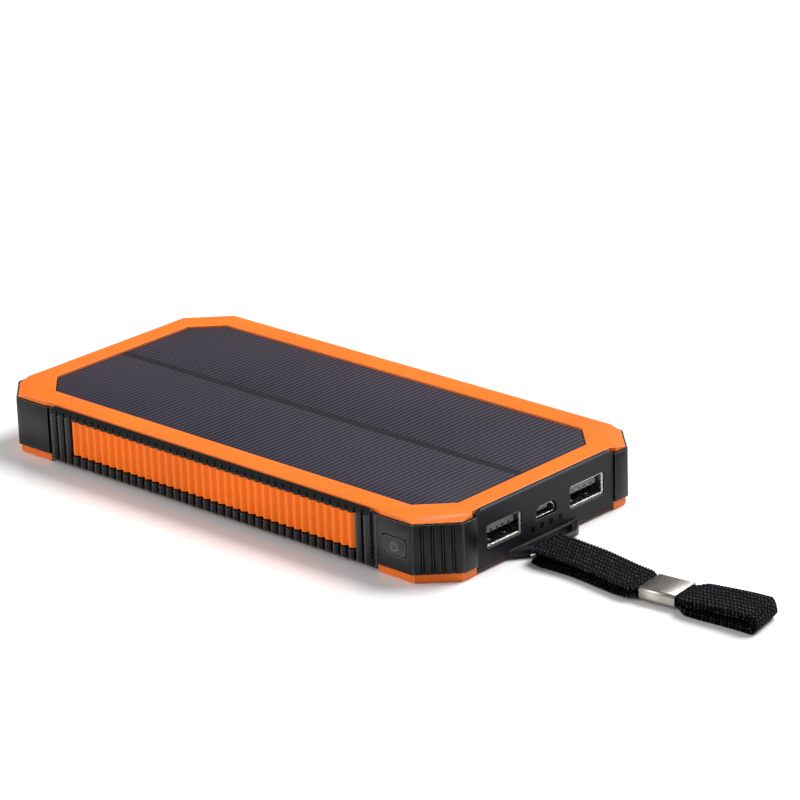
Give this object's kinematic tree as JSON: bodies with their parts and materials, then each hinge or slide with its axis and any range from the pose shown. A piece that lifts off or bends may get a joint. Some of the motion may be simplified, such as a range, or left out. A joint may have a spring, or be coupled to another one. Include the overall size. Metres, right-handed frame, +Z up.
{
  "type": "solar power bank",
  "caption": "Slim eight-sided solar power bank: panel on top, ribbed side grips, USB sockets and charge lights at one end, a power button and a wrist strap on a lug.",
  "frame": {"origin": "middle of the case's flat underside, the face it rests on", "axes": "+X along the case towards the end with the sockets and the strap, -Y towards the long side with the power button, +Z up through the solar panel"},
  "size_m": [0.2402, 0.085, 0.0173],
  "materials": {
    "orange_shell": "satin moulded ABS",
    "orange_ribs": "satin moulded ABS, ribbed",
    "black_shell": "fine spark-eroded moulded ABS",
    "black_grip": "satin moulded ABS, ribbed",
    "black_button": "satin moulded ABS",
    "solar_cell": "solar cell under satin epoxy, with fine contact lines",
    "solar_strip": "dark film under satin epoxy",
    "panel_board": "black glass-fibre board",
    "plated_steel": "nickel plated sheet",
    "socket_plastic": "moulded insulator",
    "board_laminate": "glass-fibre laminate with solder mask",
    "chip_resin": "moulded resin",
    "ferrite": "sintered ferrite",
    "capacitor_can": "drawn can",
    "led_body": "white LED package",
    "clear_plastic": "clear moulded acrylic",
    "cell_foil": "laminated pouch foil",
    "foam": "closed-cell foam",
    "red_wire": "silicone sleeve",
    "black_wire": "silicone sleeve",
    "screw_steel": "blackened steel",
    "switch_steel": "pressed sheet cover",
    "strap_webbing": "woven polyester webbing",
    "crimp_steel": "brushed nickel-plated steel"
  },
  "bodies": {
    "case": {"battery_cell_1": "cell_foil", "battery_cell_2": "cell_foil", "battery_lead_negative": "black_wire", "battery_lead_positive": "red_wire", "boost_chip": "chip_resin", "boost_inductor": "ferrite", "bottom_cover": "orange_shell", "bottom_inlay": "black_shell", "capacitor_1": "capacitor_can", "capacitor_2": "capacitor_can", "case_screw_1": "screw_steel", "case_screw_2": "screw_steel", "case_screw_3": "screw_steel", "case_screw_4": "screw_steel", "charge_led_1": "led_body", "charge_led_2": "led_body", "charge_led_3": "led_body", "charge_led_4": "led_body", "charger_chip": "chip_resin", "circuit_board": "board_laminate", "foam_pad": "foam", "grip_far": "black_grip", "grip_insert_far": "orange_ribs", "grip_insert_near": "orange_ribs", "grip_near": "black_grip", "light_pipe": "clear_plastic", "micro_usb_riser": "board_laminate", "micro_usb_shell": "plated_steel", "micro_usb_tongue": "socket_plastic", "mid_frame": "black_shell", "panel_lead_negative": "black_wire", "panel_lead_positive": "red_wire", "port_end_plate": "black_shell", "rear_end_plate": "black_shell", "solar_cell_far": "solar_cell", "solar_cell_near": "solar_cell", "solar_centre_strip": "solar_strip", "solar_panel_board": "panel_board", "tact_switch": "switch_steel", "top_bezel": "orange_shell", "usb_shell_1": "plated_steel", "usb_shell_2": "plated_steel", "usb_tongue_1": "socket_plastic", "usb_tongue_2": "socket_plastic"},
    "power_button": {"power_button": "black_button", "switch_plunger": "socket_plastic"},
    "strap": {"strap_core": "strap_webbing", "strap_crimp": "crimp_steel", "strap_loop": "strap_webbing", "strap_tail": "strap_webbing"}
  },
  "joints": [
    {"name": "button_press", "type": "slide", "parent": "case", "child": "power_button", "axis": [0, 1, 0], "range_m": [0, 0.0005], "stiffness_N_per_m": 2500, "springref_m": -0.0002},
    {"name": "strap_swing", "type": "hinge", "parent": "case", "child": "strap", "pos_m": [0.08585, 0, 0.00185], "axis": [0, -1, 0], "range_deg": [0, 95]}
  ]
}
